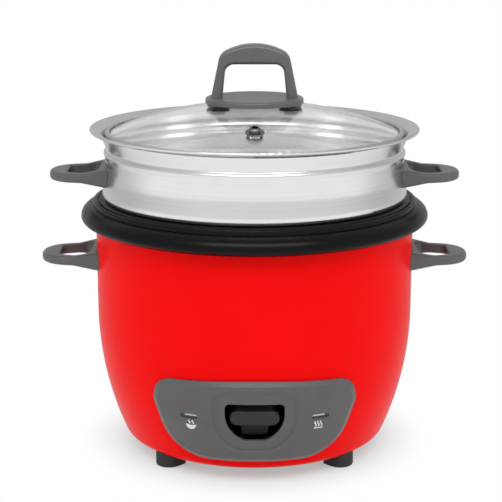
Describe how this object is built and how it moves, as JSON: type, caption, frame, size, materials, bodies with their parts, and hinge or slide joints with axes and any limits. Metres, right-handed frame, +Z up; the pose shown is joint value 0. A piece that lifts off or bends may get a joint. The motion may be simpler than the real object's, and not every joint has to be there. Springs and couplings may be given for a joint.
{
  "type": "rice cooker",
  "caption": "Red pot-style rice cooker with lift-out aluminium pot, steamer tray, glass lid, grey side handles and a one-lever cook switch",
  "frame": {"origin": "on the table under the pot's axis", "axes": "+Z up, -Y the control panel's side, +X to the right of somebody who faces the panel"},
  "size_m": [0.2582, 0.2088, 0.2434],
  "materials": {
    "shell_paint": "gloss red enamel",
    "black_mould": "satin black",
    "plated_steel": "zinc plated",
    "screw_steel": "bright plated",
    "foot_rubber": "matte",
    "pot_aluminium": "satin drawn",
    "cast_plate": "as cast, turned top",
    "element_steel": "heat dulled",
    "dark_ceramic": "sintered",
    "magnet_iron": "plated",
    "spring_steel": "drawn wire",
    "pale_mould": "matte",
    "fuse_sleeve": "woven glass sleeve",
    "panel_mould": "fine spark texture, grey",
    "clear_lens": "smoked clear",
    "lamp_glass": "clear tube",
    "handle_mould": "satin dark grey",
    "tray_aluminium": "spun, satin",
    "lid_glass": "clear tempered",
    "rim_steel": "polished",
    "gasket_rubber": "silicone"
  },
  "bodies": {
    "housing": {"outer_shell": "shell_paint", "top_ring": "black_mould", "base_plate": "plated_steel", "base_screws": "screw_steel", "feet": "foot_rubber", "heat_shield": "plated_steel", "heating_plate": "cast_plate", "heating_element": "element_steel", "plate_spacers": "plated_steel", "plate_screws": "screw_steel", "sensor_can": "plated_steel", "sensor_spring": "spring_steel", "magnet_spring": "spring_steel", "lever_bracket": "plated_steel", "lever_pin": "screw_steel", "contact_switch": "black_mould", "terminal_block": "pale_mould", "thermal_fuse": "fuse_sleeve", "fuse_clip": "plated_steel", "control_panel": "panel_mould", "cook_lens": "clear_lens", "warm_lens": "clear_lens", "cook_lamp": "lamp_glass", "warm_lamp": "lamp_glass", "push_nuts": "spring_steel", "cord_gland": "black_mould", "body_handle_right": "handle_mould", "body_handle_left": "handle_mould", "body_handle_screws": "screw_steel"},
    "lever": {"cook_lever": "plated_steel", "cook_paddle": "black_mould"},
    "magnet_body": {"magnet": "magnet_iron"},
    "sensor": {"sensor_cap": "pot_aluminium", "ferrite": "dark_ceramic"},
    "pot": {"inner_pot": "pot_aluminium"},
    "steamer": {"steamer_tray": "tray_aluminium", "steamer_handle_right": "handle_mould", "steamer_handle_left": "handle_mould", "steamer_handle_screws": "screw_steel"},
    "lid": {"lid_glass": "lid_glass", "lid_rim": "rim_steel", "lid_handle": "handle_mould", "lid_gaskets": "gasket_rubber", "lid_washers": "gasket_rubber", "lid_screws": "screw_steel", "lid_vent": "rim_steel"}
  },
  "joints": [
    {"name": "cook_lever_hinge", "type": "hinge", "parent": "housing", "child": "lever", "pos_m": [0, -0.034, 0.038], "axis": [1, 0, 0], "range_deg": [0, 6], "stiffness_Nm_per_rad": 0.05},
    {"name": "magnet_slide", "type": "slide", "parent": "housing", "child": "magnet_body", "axis": [0, 0, 1], "range_m": [0, 0.0036], "stiffness_N_per_m": 60, "deforming": ["magnet_spring"]},
    {"name": "sensor_slide", "type": "slide", "parent": "housing", "child": "sensor", "axis": [0, 0, 1], "range_m": [-0.003, 0], "stiffness_N_per_m": 300, "deforming": ["sensor_spring"]},
    {"name": "pot_lift", "type": "slide", "parent": "housing", "child": "pot", "axis": [0, 0, 1], "range_m": [0, 0.15]},
    {"name": "steamer_lift", "type": "slide", "parent": "pot", "child": "steamer", "axis": [0, 0, 1], "range_m": [0, 0.1]},
    {"name": "lid_lift", "type": "slide", "parent": "steamer", "child": "lid", "axis": [0, 0, 1], "range_m": [0, 0.1]}
  ],
  "couplings": [
    {"joint": "magnet_slide", "follows": "cook_lever_hinge", "m_per_rad": 0.034}
  ]
}
